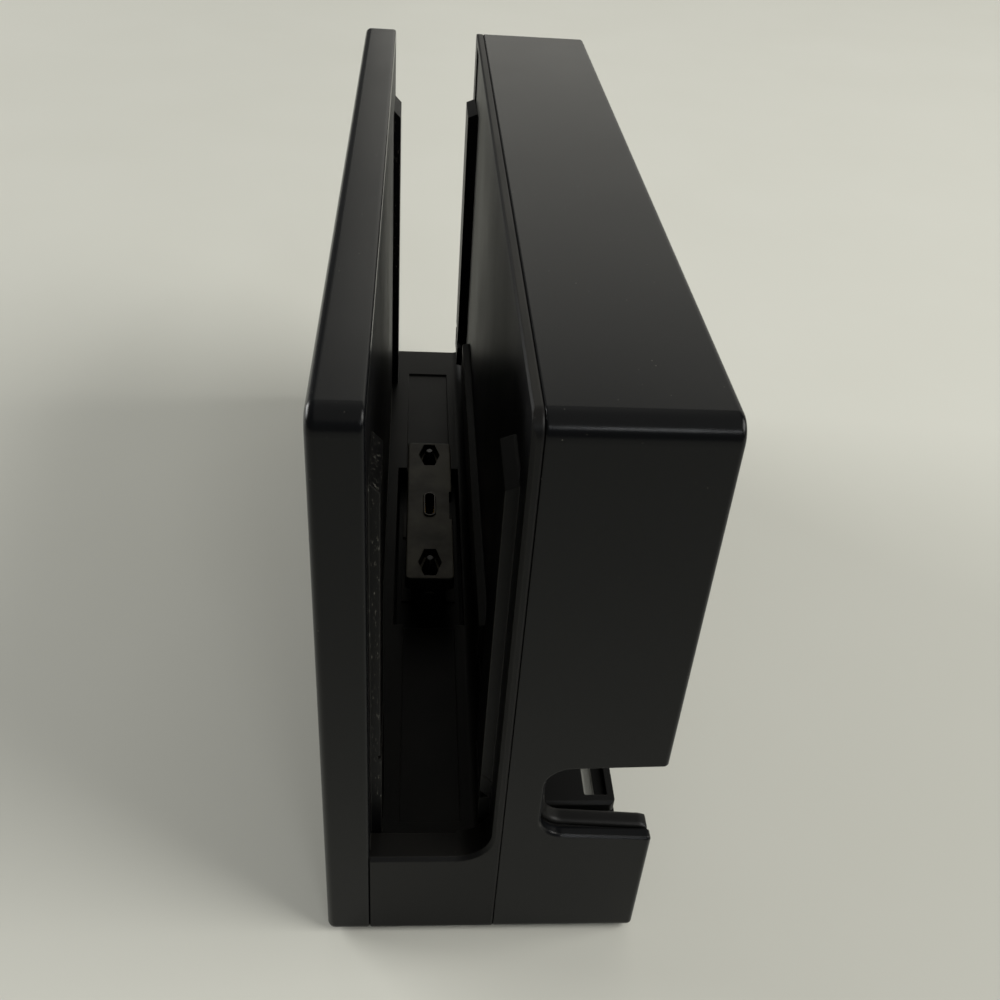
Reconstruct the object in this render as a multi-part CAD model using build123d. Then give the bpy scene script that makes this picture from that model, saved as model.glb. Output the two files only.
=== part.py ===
# Handheld console dock, in mm. X runs along the dock, Y from front to rear, Z up.
# The origin is on the desk, under the middle of the dock. The near end is the one at +X.
import os

from build123d import *

# Whole body
LENGTH = 173.0
DEPTH = 52.0
HEIGHT = 104.0
FOOT_PROUD = 0.6        # the feet hold the mouldings this far off the desk
CORNER_R = 3.2          # upper corners of the outline as seen from the front
BASE_R = 1.4            # and its lower corners
FRONT_EDGE_R = 1.3
REAR_EDGE_R = 0.8
SEAM_R = 0.35           # edges on both sides of a seam
PANEL_EDGE_R = 0.6      # edge of the front panel along the slot
WALL = 1.9              # outer walls
FIT = 0.25              # between mouldings that nest in each other
CUT = 1.0               # cuts run this far past a surface

# Front panel
PANEL_D = 7.1           # from the front to the first seam
PANEL_POST_R = 2.6
PANEL_POST_IN = 24.5    # posts stand this far from the ends
PANEL_POST_Z = 32.0     # posts above and below the middle height

# Cradle
CRADLE_D = 20.8         # from the first seam to the second
PLATE_T = 2.0           # front wall of the slot
RIM_T = 1.55            # rim of the rear wall
REAR_PLATE_T = 2.6      # rear wall of the slot, behind the rim
FLOOR_Z = 16.0
FLOOR_T = 2.0
SILL_H = 4.3            # sill at the near end, above the floor
SILL_T = 5.5
SILL_R = 5.5            # rear corner of the near opening
FLOOR_R = 2.5           # rear corner of the floor
MOUTH_EDGE = 0.6        # bevel around the slot in the end faces
SILL_EDGE = 0.4         # and along the inner edge of the sill
PAN_STEP = 0.4          # shallow channel in the floor, at its outer ends
PAN_DROP = 0.9          # and beside the well
PAN_FAR_IN = 13.3       # where it starts, from the far end
PAN_NEAR_IN = 10.5      # and from the near end
PAN_SIDE = 0.2          # wider than the carriage on both sides
WALL_SET_BACK = 0.35    # the rear wall stands back behind its rim
RIM_H = 1.6
RIM_EDGE = 0.35
WALL_END_IN = 8.0       # the set-back part, from the ends
WALL_RISE = 4.0         # and above the floor
WALL_R = 1.0
RAIL_IN = 6.5           # end face of a guide rail, from the end of the dock
RAIL_L = 12.0
RAIL_DROP = 14.2        # top of a rail, below the top of the dock
FRONT_RAIL_T = 1.55
FRONT_RAIL_SLOPE = 1.6  # fall of its top
REAR_RAIL_T = 1.9
REAR_RAIL_SLOPE = 0.8
REAR_RAIL_RISE = 15.4   # foot of a rear rail, above the floor
LUG_RISE = 6.0          # lug under a rear rail, above the floor
LUG_H = 5.8
LUG_EDGE = 0.4
RAIL_STEP_RISE = 21.0   # groove across the near front rail, above the floor
RAIL_STEP_H = 0.8
RAIL_STEP_D = 0.4
RAIL_FOOT_EXTRA = 0.2   # the rail is thicker below the groove
RIB_L = 102.0           # guide rib along the rear wall
RIB_T = 1.35
RIB_RISE = 13.2         # above the floor
RIB_H = 9.0
RIB_SLOPE = 0.3
BASE_WALL = 2.0         # walls of the hollow under the floor

# Connector carriage
CAR_L = 49.0
CAR_W = 10.0
CAR_T = 3.0
CAR_R = 1.0
CAR_EDGE_R = 0.4
CAR_RISE = 9.8          # top of the carriage, above the floor
CAR_SHIFT = 0.125       # it stands this far behind the middle of the slot
CAR_NOTCH_L = 10.0      # notch in the rear long side of the carriage
CAR_NOTCH_D = 0.7
SKIRT_W = 6.4
SKIRT_H = 4.5
AXIS_DROP = 5.5         # the carriage rocks about an axis this far below its top
PIVOT_R = 1.5
PIVOT_PLAY = 0.06
PIVOT_END = 0.4         # trunnions run this far past the ears
EAR_T = 3.0
EAR_R = 2.2
EAR_GAP = 0.5           # beside an ear
WELL_SIDE = 2.25        # room around the carriage
WELL_END = 3.3
PIN_X = 19.4
PIN_R = 1.8             # at its foot
PIN_H = 1.2             # above the carriage
PIN_TIP_R = 0.7
HEX_L = 8.4             # recess around a pin
HEX_W = 4.8
HEX_END_W = 2.4
HEX_D = 2.4
PLUG_L = 8.34
PLUG_W = 2.56
PLUG_H = 0.4            # above the carriage
PLUG_WALL = 0.3
PLUG_SEAT = 5.0         # depth of its seat in the carriage
PLUG_PLAY = 0.08
LINER_PLAY = 0.02
LINER_H = 1.0

# Carriage bracket
BRACKET_DROP = 3.0      # the bracket hangs this far under the floor
BRACKET_T = 2.0
BRACKET_END = 6.5       # it runs this far past the well at each end
BRACKET_W = 13.6
BRACKET_R = 1.0
BRACKET_SCREW_IN = 3.4  # from the ends of the bracket
BRACKET_SCREW_SIDE = 2.2
BRACKET_BOSS_R = 2.0
SPRING_T = 0.3
SPRING_L = 9.0
SPRING_X = 11.0
SPRING_GAP = 0.4        # under the carriage
SPRING_FOOT = 2.4
SPRING_SIDE = 1.0       # from the long sides of the bracket
SPRING_TIP_IN = 0.8     # from the long sides of the skirt

# Bottom cover and feet
COVER_T = 2.0
COVER_R = 1.0
BOTTOM_SCREW_IN = 34.5  # from the ends of the dock
BOTTOM_SCREW_SIDE = 2.8  # from the long sides of the hollow
BOSS_R = 2.6
FOOT_L = 12.0
FOOT_W = 5.0
FOOT_SEAT = 0.8
FOOT_PLAY = 0.1
FOOT_EDGE = 0.25
FOOT_IN = 11.0          # middle of a foot, from the end
FOOT_FRONT_IN = 14.0    # and from the front
FOOT_REAR_IN = 6.0      # and from the rear

# Rear shell
NOTCH_LAP = 0.3         # the cable notch reaches this far past the compartment wall
NOTCH_Z0 = 26.5
NOTCH_H = 15.5
NOTCH_IN_R = 4.0
NOTCH_OUT_R = 1.0
NOTCH_FALL = 1.1        # its lower edge falls toward the rear
NOTCH_LIFT = 0.7        # and its upper edge rises
NOTCH_EDGE = 0.4        # bevel around it
LIP_H = 0.5             # the lip of the inner wall stands above that of the shell
DROP_IN = 18.5          # opening in the bottom wall, from the near end
DROP_L = 22.0
DROP_REAR_IN = 2.5      # and from the rear
DROP_FRONT_IN = 2.0     # and from the compartment wall
DROP_R = 1.5

# Back tray
TRAY_T = 2.0
TRAY_END_T = 2.1        # inner wall at the near end
TRAY_GAP = 0.1          # dark line between the two end walls
BAY_IN = 2.5            # panel over the boards, from the rear
BAY_L = 92.5            # from the far end to the near face of the port wall
COMP_POST = 1.5         # posts between the slot's rear wall and the compartment wall
SHELF_DROP = 2.1        # top of the shelf, below the notch
SHELF_T = 2.0
SHELF_END_IN = 3.6      # from the inner end wall
SHELF_L = 28.0
SHELF_REAR_IN = 4.7     # from the rear
SHELF_R = 1.0
SHELF_EDGE = 0.5        # bevel along its near edge
WINDOW_END_IN = 1.7     # window in the shelf, from its near edge
WINDOW_L = 11.0
WINDOW_REAR_IN = 3.0    # and from its rear edge
WINDOW_W = 2.0
POCKET_W = 1.8          # pocket beside the window
POCKET_D = 1.5
WINDOW_R = 0.4
VENT_N = 9              # slots in the bay panel
VENT_L = 26.0
VENT_W = 1.8
VENT_PITCH = 4.6
VENT_DROP = 4.0         # middle of the slots, below the middle height

# Boards
BOARD_ROOM = 6.4        # between the boards and the bay panel
BOARD_T = 1.6
BOARD_POST_R = 2.4
MAIN_GAP = 0.6          # between the main board and the port wall
MAIN_L = 67.4
MAIN_TOP_IN = 14.0      # from the top
MAIN_H = 66.0
MAIN_SCREW_IN = 4.0     # from the edges of the board
SIDE_GAP = 1.0          # between the side board and the far end wall
SIDE_L = 15.6
SIDE_TOP_IN = 12.0      # from the top
SIDE_H = 46.0
SIDE_SCREW_IN = 3.5     # from the ends of the board
SHIELD_T = 0.5
SHIELD_IN = 8.5         # shields stand in from the edges of the board
SHIELD_H = 3.4
CHIP_H = 1.1
CHIPS = ((-9.0, 15.0, 9.0), (8.0, 14.0, 12.0), (-9.0, -12.0, 7.0), (8.0, -10.0, 10.0))
RIBBON_W = 8.0
RIBBON_T = 0.3
RIBBON_LAP = 3.0

# Sockets: width along Z, height along Y, depth along X, and the middle's height above the board's edge
PORT_SHEET = 0.35       # sheet of a socket shell
PORT_PLAY = 0.2         # between a socket and its window
TONGUE_PLAY = 0.05      # between an insulator and its shell
TONGUE_IN = 1.0         # tip of a tongue, inside the mouth
TONGUE_BLOCK = 4.0      # length of the block at the back of a socket
POWER = dict(w=9.0, h=3.3, d=8.0, rise=52.5, tongue_w=6.7, tongue_h=0.7, r=1.6)
HOST = dict(w=13.2, h=5.8, d=14.0, rise=33.5, tongue_w=10.8, tongue_h=1.8, r=0.5)
VIDEO = dict(w=15.0, h=5.6, d=11.0, rise=14.2, tongue_w=11.4, tongue_h=1.6, r=0.9)
SIDE_RISES = {"lower": 13.5, "upper": 33.0}
SIDE_PORT_IN = 0.3      # mouths of the side sockets stand this far inside the end face

# Screws
SCREW_R = 1.0
SCREW_PLAY = 0.02
SCREW_HEAD_R = 2.0
SCREW_HEAD_H = 1.2
SCREW_SINK = 0.2        # a head stands this far below its surface
SCREW_L = 6.0
SCREW_END = 0.2         # between a screw's tip and the end of its hole
SCREW_BITE = 0.8        # short screws stop this far inside a wall
HEAD_PLAY = 0.25
CASE_SCREW_IN = 6.5     # from the edges of the tray

# Status light
LIGHT_IN = 11.5         # from the far end
LIGHT_RISE = 10.4       # from the bottom edge
LIGHT_L = 3.2
LIGHT_H = 1.2
LIGHT_PLAY = 0.05
LIGHT_FLANGE = 1.0
LIGHT_BOARD_L = 12.0
LIGHT_BOARD_H = 9.0
LIGHT_BOARD_T = 1.0
LIGHT_BOARD_GAP = 0.3   # on both sides of the board
LIGHT_POST_R = 1.4

# Places that follow from the sizes above
HALF = LENGTH / 2
BASE_Z = FOOT_PROUD
MID_Z = (BASE_Z + HEIGHT) / 2
Y_FRONT = -DEPTH / 2
Y_REAR = DEPTH / 2
Y_INNER = Y_FRONT + WALL                # rear face of the front panel's front wall
Y_SEAM_F = Y_FRONT + PANEL_D
Y_SEAM_R = Y_SEAM_F + CRADLE_D
Y_RIM = Y_SEAM_R - RIM_T
Y_PLATE = Y_SEAM_F - PLATE_T            # front face of the slot's front wall
Y_BACK = Y_SEAM_R + REAR_PLATE_T        # rear face of the slot's rear wall
NEST = WALL + FIT                       # inset of what nests inside an outer wall
UNDER_FLOOR = FLOOR_Z - FLOOR_T
HOLLOW_X = HALF - BASE_WALL - FIT
HOLLOW_Y0 = Y_SEAM_F + BASE_WALL
HOLLOW_Y1 = Y_SEAM_R - BASE_WALL
COVER_Y = (HOLLOW_Y0 + HOLLOW_Y1) / 2
CAR_Y = (Y_SEAM_F + Y_RIM) / 2 + CAR_SHIFT
CAR_TOP = FLOOR_Z + CAR_RISE
CAR_UNDER = CAR_TOP - CAR_T
SKIRT_Z = CAR_UNDER - SKIRT_H
AXIS_Z = CAR_TOP - AXIS_DROP
EAR_X = CAR_L / 2 - EAR_T - EAR_GAP     # inner face of an ear
SKIRT_X = EAR_X - EAR_GAP
WELL_X = CAR_L / 2 + WELL_END
WELL_W = CAR_W / 2 + WELL_SIDE
BRACKET_TOP = UNDER_FLOOR - BRACKET_DROP
BRACKET_Z = BRACKET_TOP - BRACKET_T
BRACKET_X = WELL_X + BRACKET_END
NOTCH_Z1 = NOTCH_Z0 + NOTCH_H
TRAY_Z0 = BASE_Z + NEST
TRAY_Z1 = HEIGHT - NEST
TRAY_X = HALF - WALL - TRAY_GAP
TRAY_END = TRAY_X - TRAY_END_T          # inner face of the inner end wall
BAY_Y = Y_REAR - BAY_IN
BAY_FRONT = BAY_Y - TRAY_T
BOARD_REAR = BAY_FRONT - BOARD_ROOM
BOARD_Y = BOARD_REAR - BOARD_T
PORT_X = -HALF + BAY_L
PORT_FAR = PORT_X - TRAY_T
COMP_FRONT = Y_BACK + COMP_POST
COMP_Y = COMP_FRONT + TRAY_T
NOTCH_Y = COMP_Y - NOTCH_LAP
DROP_Y0 = COMP_Y + DROP_FRONT_IN
DROP_Y1 = Y_REAR - DROP_REAR_IN
SHELF_X1 = TRAY_END - SHELF_END_IN
SHELF_X0 = SHELF_X1 - SHELF_L
SHELF_Y1 = Y_REAR - SHELF_REAR_IN
SHELF_TOP = NOTCH_Z0 - SHELF_DROP
MAIN_X1 = PORT_FAR - MAIN_GAP
MAIN_X0 = MAIN_X1 - MAIN_L
MAIN_Z1 = HEIGHT - MAIN_TOP_IN
MAIN_Z0 = MAIN_Z1 - MAIN_H
SIDE_X0 = -HALF + WALL + SIDE_GAP
SIDE_X1 = SIDE_X0 + SIDE_L
SIDE_Z1 = HEIGHT - SIDE_TOP_IN
SIDE_Z0 = SIDE_Z1 - SIDE_H
PORTS_BACK = PORT_X - max(POWER["d"], HOST["d"], VIDEO["d"])
SHIELD_X0 = MAIN_X0 + SHIELD_IN
SHIELD_X1 = PORTS_BACK - SHIELD_IN
LIGHT_X = -HALF + LIGHT_IN
LIGHT_Z = BASE_Z + LIGHT_RISE
LIGHT_BOARD_Y = Y_PLATE - LIGHT_BOARD_GAP - LIGHT_BOARD_T
BOTTOM_SCREW_Z = BASE_Z + COVER_T       # where the cover's bosses start
HEAD_SEAT = SCREW_HEAD_H + SCREW_SINK
BRACKET_GRIP = BRACKET_DROP + SCREW_BITE
COMP_GRIP = COMP_POST + SCREW_BITE


def corners(xs, ys):
    """All pairs of the given places."""
    return [(x, y) for x in xs for y in ys]


MAIN_SCREWS = corners(
    (MAIN_X0 + MAIN_SCREW_IN, PORTS_BACK - MAIN_SCREW_IN),
    (MAIN_Z0 + MAIN_SCREW_IN, MAIN_Z1 - MAIN_SCREW_IN),
)
SIDE_SCREWS = corners(
    ((SIDE_X0 + SIDE_X1) / 2,), (SIDE_Z0 + SIDE_SCREW_IN, SIDE_Z1 - SIDE_SCREW_IN))
BAY_SCREWS = corners(
    (-TRAY_X + CASE_SCREW_IN, PORT_FAR - CASE_SCREW_IN),
    (TRAY_Z0 + CASE_SCREW_IN, TRAY_Z1 - CASE_SCREW_IN),
)
COMP_SCREWS = corners(
    (TRAY_END - CASE_SCREW_IN,), (TRAY_Z0 + CASE_SCREW_IN, TRAY_Z1 - CASE_SCREW_IN))
BOTTOM_SCREWS = corners(
    (-HALF + BOTTOM_SCREW_IN, HALF - BOTTOM_SCREW_IN),
    (HOLLOW_Y0 + BOTTOM_SCREW_SIDE, HOLLOW_Y1 - BOTTOM_SCREW_SIDE),
)
BRACKET_SCREWS = corners(
    (-BRACKET_X + BRACKET_SCREW_IN, BRACKET_X - BRACKET_SCREW_IN),
    (CAR_Y - BRACKET_W / 2 + BRACKET_SCREW_SIDE, CAR_Y + BRACKET_W / 2 - BRACKET_SCREW_SIDE),
)
FEET = {
    "foot_front_far": (-HALF + FOOT_IN, Y_FRONT + FOOT_FRONT_IN),
    "foot_front_near": (HALF - FOOT_IN, Y_FRONT + FOOT_FRONT_IN),
    "foot_rear_far": (-HALF + FOOT_IN, Y_REAR - FOOT_REAR_IN),
    "foot_rear_near": (HALF - FOOT_IN, Y_REAR - FOOT_REAR_IN),
}


def box(x0, x1, y0, y1, z0, z1):
    """A box between two corners."""
    return Pos((x0 + x1) / 2, (y0 + y1) / 2, (z0 + z1) / 2) * Box(x1 - x0, y1 - y0, z1 - z0)


def poly(*points):
    """A flat face inside a closed line."""
    return make_face(Polyline(*points, close=True))


def round_at(face, spots, radius):
    """Round the corners of a flat face that lie at the given spots."""
    near = [
        v for v in face.vertices()
        if any(abs(v.X - a) < 0.01 and abs(v.Y - b) < 0.01 for a, b in spots)
    ]
    return fillet(near, radius)


def slab(face, y0, y1):
    """A face drawn in X and Z, carried from y0 to y1."""
    return extrude(Plane.XZ.offset(-y0) * face, amount=-(y1 - y0))


def bar(face, x0, x1):
    """A face drawn in Y and Z, carried from x0 to x1."""
    return extrude(Plane.YZ.offset(x0) * face, amount=x1 - x0)


def tile(face, z0, z1):
    """A face drawn in X and Y, carried from z0 to z1."""
    return extrude(Plane.XY.offset(z0) * face, amount=z1 - z0)


def rod_x(radius, x0, x1, y, z):
    """A round bar along X."""
    return bar(Pos(y, z) * Circle(radius), x0, x1)


def rod_y(radius, x, z, y0, y1):
    """A round bar along Y."""
    return slab(Pos(x, z) * Circle(radius), y0, y1)


def rod_z(radius, x, y, z0, z1):
    """A round bar along Z."""
    return tile(Pos(x, y) * Circle(radius), z0, z1)


def outline(inset=0.0):
    """The outline of the dock as seen from the front, set in on all sides."""
    side = HALF - inset
    low = BASE_Z + inset
    high = HEIGHT - inset
    face = poly((-side, low), (side, low), (side, high), (-side, high))
    face = round_at(face, [(-side, high), (side, high)], max(CORNER_R - inset, WALL / 2))
    return round_at(face, [(-side, low), (side, low)], max(BASE_R - inset, WALL / 2))


def soften(solid, front_r, rear_r):
    """Round the edges of the front and the rear face of a solid."""
    solid = fillet(solid.faces().sort_by(Axis.Y)[0].edges(), front_r)
    return fillet(solid.faces().sort_by(Axis.Y)[-1].edges(), rear_r)


def notch_face(y_end, lip=0.0):
    """The cable notch in Y and Z. It opens toward the rear, and its outer corners are rounded off."""
    y0 = NOTCH_Y
    z0 = NOTCH_Z0 + lip
    z_low = NOTCH_Z0 - NOTCH_FALL
    z_high = NOTCH_Z1 + NOTCH_LIFT
    far = Y_REAR + CUT + NOTCH_OUT_R
    low = z_low - NOTCH_OUT_R
    high = z_high + NOTCH_OUT_R
    face = poly(
        (far, low), (y_end, low), (y_end, z_low), (y0, z0),
        (y0, NOTCH_Z1), (y_end, z_high), (y_end, high), (far, high),
    )
    face = round_at(face, [(y0, z0), (y0, NOTCH_Z1)], NOTCH_IN_R)
    return round_at(face, [(y_end, z_low), (y_end, z_high)], NOTCH_OUT_R * 0.9)


def make_front_panel():
    solid = soften(slab(outline(), Y_FRONT, Y_SEAM_F), FRONT_EDGE_R, PANEL_EDGE_R)
    solid -= slab(outline(WALL), Y_INNER, Y_SEAM_F + CUT)
    post_x = HALF - PANEL_POST_IN
    for x, z in corners((-post_x, post_x), (MID_Z - PANEL_POST_Z, MID_Z + PANEL_POST_Z)):
        solid += rod_y(PANEL_POST_R, x, z, Y_INNER - CUT, Y_PLATE)
    side = LIGHT_BOARD_L / 2 - LIGHT_POST_R
    for x in (LIGHT_X - side, LIGHT_X + side):
        solid += rod_y(LIGHT_POST_R, x, LIGHT_Z, Y_INNER - CUT, LIGHT_BOARD_Y)
    return solid - slab(lens_face(LIGHT_PLAY), Y_FRONT - CUT, Y_INNER + CUT)


def lens_face(play=0.0):
    """The lens of the status light in X and Z."""
    return Pos(LIGHT_X, LIGHT_Z) * RectangleRounded(
        LIGHT_L + 2 * play, LIGHT_H + 2 * play, LIGHT_H / 2 - LIGHT_PLAY)


def make_status_light_pipe():
    flange = Pos(LIGHT_X, LIGHT_Z) * Rectangle(LIGHT_L + 2 * LIGHT_FLANGE, LIGHT_H + 2 * LIGHT_FLANGE)
    rear = LIGHT_BOARD_Y - LIGHT_BOARD_GAP
    return slab(lens_face(), Y_FRONT, rear) + slab(flange, Y_INNER, rear)


def make_status_light_board():
    face = Pos(LIGHT_X, LIGHT_Z) * Rectangle(LIGHT_BOARD_L, LIGHT_BOARD_H)
    return slab(face, LIGHT_BOARD_Y, LIGHT_BOARD_Y + LIGHT_BOARD_T)


def slot_face(bottom, radius):
    """The slot in Y and Z, open at the top."""
    top = HEIGHT + CUT
    front = Y_SEAM_F - CUT
    face = poly((front, bottom), (Y_RIM, bottom), (Y_RIM, top), (front, top))
    return round_at(face, [(Y_RIM, bottom)], radius)


def flare(face, x, way, edge):
    """A face in Y and Z that widens toward x, to bevel the edges of an opening there."""
    plane = Plane.YZ.offset(x - way * edge)
    return extrude(plane * face, amount=2 * edge, dir=(way, 0, 0), taper=-45)


def rail_face(root, side, thick, foot, foot_rise, top, slope):
    """A guide rail in Y and Z: it stands out of the wall at root, with a sloping top and foot."""
    tip = root + side * thick
    back = root - side * (WALL_SET_BACK + RIM_T) / 2
    return poly(
        (back, foot), (root, foot), (tip, foot + foot_rise),
        (tip, top - slope), (root, top), (back, top),
    )


def make_cradle():
    # The walls of the slot, cut from one block that stands between two plates
    solid = soften(slab(outline(), Y_SEAM_F, Y_SEAM_R), SEAM_R, SEAM_R)
    sill_x = HALF - SILL_T
    solid -= bar(slot_face(FLOOR_Z, FLOOR_R), -HALF - CUT, sill_x)
    solid -= bar(slot_face(FLOOR_Z + SILL_H, SILL_R), sill_x, HALF + CUT)

    # Bevels where the slot meets the end faces, and along the sill and the rim
    solid -= flare(slot_face(FLOOR_Z, FLOOR_R), -HALF, -1, MOUTH_EDGE)
    solid -= flare(slot_face(FLOOR_Z + SILL_H, SILL_R), HALF, 1, MOUTH_EDGE)
    sill_z = FLOOR_Z + SILL_H
    reach = SILL_EDGE + CUT
    bevel = poly(
        (sill_x - CUT, sill_z - reach), (sill_x + reach, sill_z + CUT), (sill_x - CUT, sill_z + CUT))
    solid -= slab(bevel, Y_SEAM_F, Y_RIM - SILL_R)
    reach = RIM_EDGE + CUT
    bevel = poly(
        (Y_RIM - CUT, HEIGHT - reach), (Y_RIM + reach, HEIGHT + CUT), (Y_RIM - CUT, HEIGHT + CUT))
    solid -= bar(bevel, -HALF - CUT, HALF + CUT)
    solid += slab(outline(NEST), Y_PLATE, Y_SEAM_F)
    solid += slab(outline(NEST), Y_SEAM_R, Y_BACK)

    # The rear wall stands back behind its rim
    z0 = FLOOR_Z + WALL_RISE
    z1 = HEIGHT - RIM_H
    part = Pos(0, (z0 + z1) / 2) * RectangleRounded(2 * (HALF - WALL_END_IN), z1 - z0, WALL_R)
    solid -= slab(part, Y_RIM - CUT, Y_RIM + WALL_SET_BACK)

    # Channel in the floor, which falls toward the carriage from both ends
    for end, edge in ((-HALF + PAN_FAR_IN, -WELL_X), (HALF - PAN_NEAR_IN, WELL_X)):
        wedge = poly(
            (end, FLOOR_Z - PAN_STEP), (edge, FLOOR_Z - PAN_DROP),
            (edge, FLOOR_Z + CUT), (end, FLOOR_Z + CUT))
        half = CAR_W / 2 + PAN_SIDE
        solid -= slab(wedge, CAR_Y - half, CAR_Y + half)

    # Guide rails near both ends, and a rib along the rear wall
    rail_top = HEIGHT - RAIL_DROP
    rail_foot = FLOOR_Z - FLOOR_T / 2
    front_rail = rail_face(Y_SEAM_F, 1, FRONT_RAIL_T, rail_foot, 0.0, rail_top, FRONT_RAIL_SLOPE)
    rear_rail = rail_face(
        Y_RIM, -1, REAR_RAIL_T, FLOOR_Z + REAR_RAIL_RISE, REAR_RAIL_T, rail_top, REAR_RAIL_SLOPE)
    lug_z = FLOOR_Z + LUG_RISE
    lug = rail_face(Y_RIM, -1, REAR_RAIL_T, lug_z, LUG_EDGE, lug_z + LUG_H, LUG_EDGE)
    for x0 in (-HALF + RAIL_IN, HALF - RAIL_IN - RAIL_L):
        for face in (front_rail, rear_rail, lug):
            solid += bar(face, x0, x0 + RAIL_L)
    rib_z = FLOOR_Z + RIB_RISE
    rib = rail_face(Y_RIM, -1, RIB_T, rib_z, RIB_SLOPE, rib_z + RIB_H, RIB_SLOPE)
    solid += bar(rib, -RIB_L / 2, RIB_L / 2)

    # The near rail in front is thicker below a groove
    rail_y = Y_SEAM_F + FRONT_RAIL_T
    step_z = FLOOR_Z + RAIL_STEP_RISE
    solid += box(x0, x0 + RAIL_L, Y_SEAM_F, rail_y + RAIL_FOOT_EXTRA, rail_foot, step_z)
    solid -= box(x0 - CUT, x0 + RAIL_L + CUT, rail_y - RAIL_STEP_D, rail_y + CUT,
                 step_z, step_z + RAIL_STEP_H)

    # Hollow under the floor, with bosses for the cover and the bracket
    solid -= box(-HOLLOW_X, HOLLOW_X, HOLLOW_Y0, HOLLOW_Y1, BASE_Z - CUT, UNDER_FLOOR)
    for x, y in BOTTOM_SCREWS:
        solid += rod_z(BOSS_R, x, y, BOTTOM_SCREW_Z, FLOOR_Z - FLOOR_T / 2)
        solid -= rod_z(SCREW_R, x, y, BOTTOM_SCREW_Z - CUT, BOTTOM_SCREW_Z + SCREW_L)
    for x, y in BRACKET_SCREWS:
        solid += rod_z(BRACKET_BOSS_R, x, y, BRACKET_TOP, FLOOR_Z - FLOOR_T / 2)
        solid -= rod_z(SCREW_R, x, y, BRACKET_TOP - CUT, BRACKET_TOP + BRACKET_GRIP)
    solid -= box(-WELL_X, WELL_X, CAR_Y - WELL_W, CAR_Y + WELL_W, UNDER_FLOOR - CUT, FLOOR_Z + CUT)

    # Posts for the boards and for the screws of the back tray
    foot = Y_BACK - CUT
    for x, z in MAIN_SCREWS + SIDE_SCREWS:
        solid += rod_y(BOARD_POST_R, x, z, foot, BOARD_Y)
        solid -= rod_y(SCREW_R, x, z, BOARD_REAR - SCREW_L - SCREW_END, BOARD_Y + CUT)
    for x, z in BAY_SCREWS:
        solid += rod_y(BOSS_R, x, z, foot, BAY_FRONT)
        solid -= rod_y(SCREW_R, x, z, BAY_FRONT - SCREW_L, BAY_FRONT + CUT)
    for x, z in COMP_SCREWS:
        solid += rod_y(BOSS_R, x, z, foot, COMP_FRONT)
        solid -= rod_y(SCREW_R, x, z, COMP_FRONT - COMP_GRIP, COMP_FRONT + CUT)
    return solid


def screw_y(x, z, seat, tip):
    """A pan-head screw along Y: its head stands behind seat, its shank ends at tip."""
    head = rod_y(SCREW_HEAD_R, x, z, seat, seat + SCREW_HEAD_H)
    return head + rod_y(SCREW_R - SCREW_PLAY, x, z, tip, seat)


def screw_z(x, y, seat, tip):
    """A pan-head screw along Z: its head hangs under seat, its shank ends at tip."""
    head = rod_z(SCREW_HEAD_R, x, y, seat - SCREW_HEAD_H, seat)
    return head + rod_z(SCREW_R - SCREW_PLAY, x, y, seat, tip)


def make_bottom_cover():
    face = Pos(0, COVER_Y) * RectangleRounded(
        2 * (HOLLOW_X - FIT), HOLLOW_Y1 - HOLLOW_Y0 - 2 * FIT, COVER_R)
    solid = tile(face, BASE_Z, BASE_Z + COVER_T)
    for x, y in BOTTOM_SCREWS:
        solid -= rod_z(SCREW_R + HEAD_PLAY, x, y, BASE_Z - CUT, BASE_Z + COVER_T + CUT)
        solid -= rod_z(SCREW_HEAD_R + HEAD_PLAY, x, y, BASE_Z - CUT, BASE_Z + HEAD_SEAT)
    return cut_foot_seats(solid)


def foot_face(x, y, play=0.0):
    return Pos(x, y) * RectangleRounded(FOOT_L + 2 * play, FOOT_W + 2 * play, FOOT_W / 2 - FOOT_PLAY)


def cut_foot_seats(solid):
    """Cut the shallow seats of the feet."""
    for x, y in FEET.values():
        solid -= tile(foot_face(x, y, FOOT_PLAY), BASE_Z - CUT, BASE_Z + FOOT_SEAT)
    return solid


def make_foot(x, y):
    solid = tile(foot_face(x, y), 0, BASE_Z + FOOT_SEAT)
    return chamfer(solid.faces().sort_by(Axis.Z)[0].edges(), FOOT_EDGE)


def make_rear_shell():
    solid = soften(slab(outline(), Y_SEAM_R, Y_REAR), SEAM_R, REAR_EDGE_R)
    solid -= slab(outline(WALL), Y_SEAM_R - CUT, Y_REAR + CUT)
    solid -= bar(notch_face(Y_REAR), HALF - WALL - CUT, HALF + CUT)
    solid -= flare(notch_face(Y_REAR), HALF, 1, NOTCH_EDGE)
    for rise in SIDE_RISES.values():
        solid -= port_window(HOST, SIDE_Z0 + rise, -HALF - CUT, -HALF + WALL + CUT)
    drop = Pos(HALF - DROP_IN - DROP_L / 2, (DROP_Y0 + DROP_Y1) / 2) * RectangleRounded(
        DROP_L, DROP_Y1 - DROP_Y0, DROP_R)
    solid -= tile(drop, BASE_Z - CUT, BASE_Z + WALL + CUT)
    return cut_foot_seats(solid)


def port_window(port, z, x0, x1):
    """The window of a socket through a wall."""
    half = port["w"] / 2 + PORT_PLAY
    return box(x0, x1, BOARD_REAR - PORT_PLAY, BOARD_REAR + port["h"] + PORT_PLAY, z - half, z + half)


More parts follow.
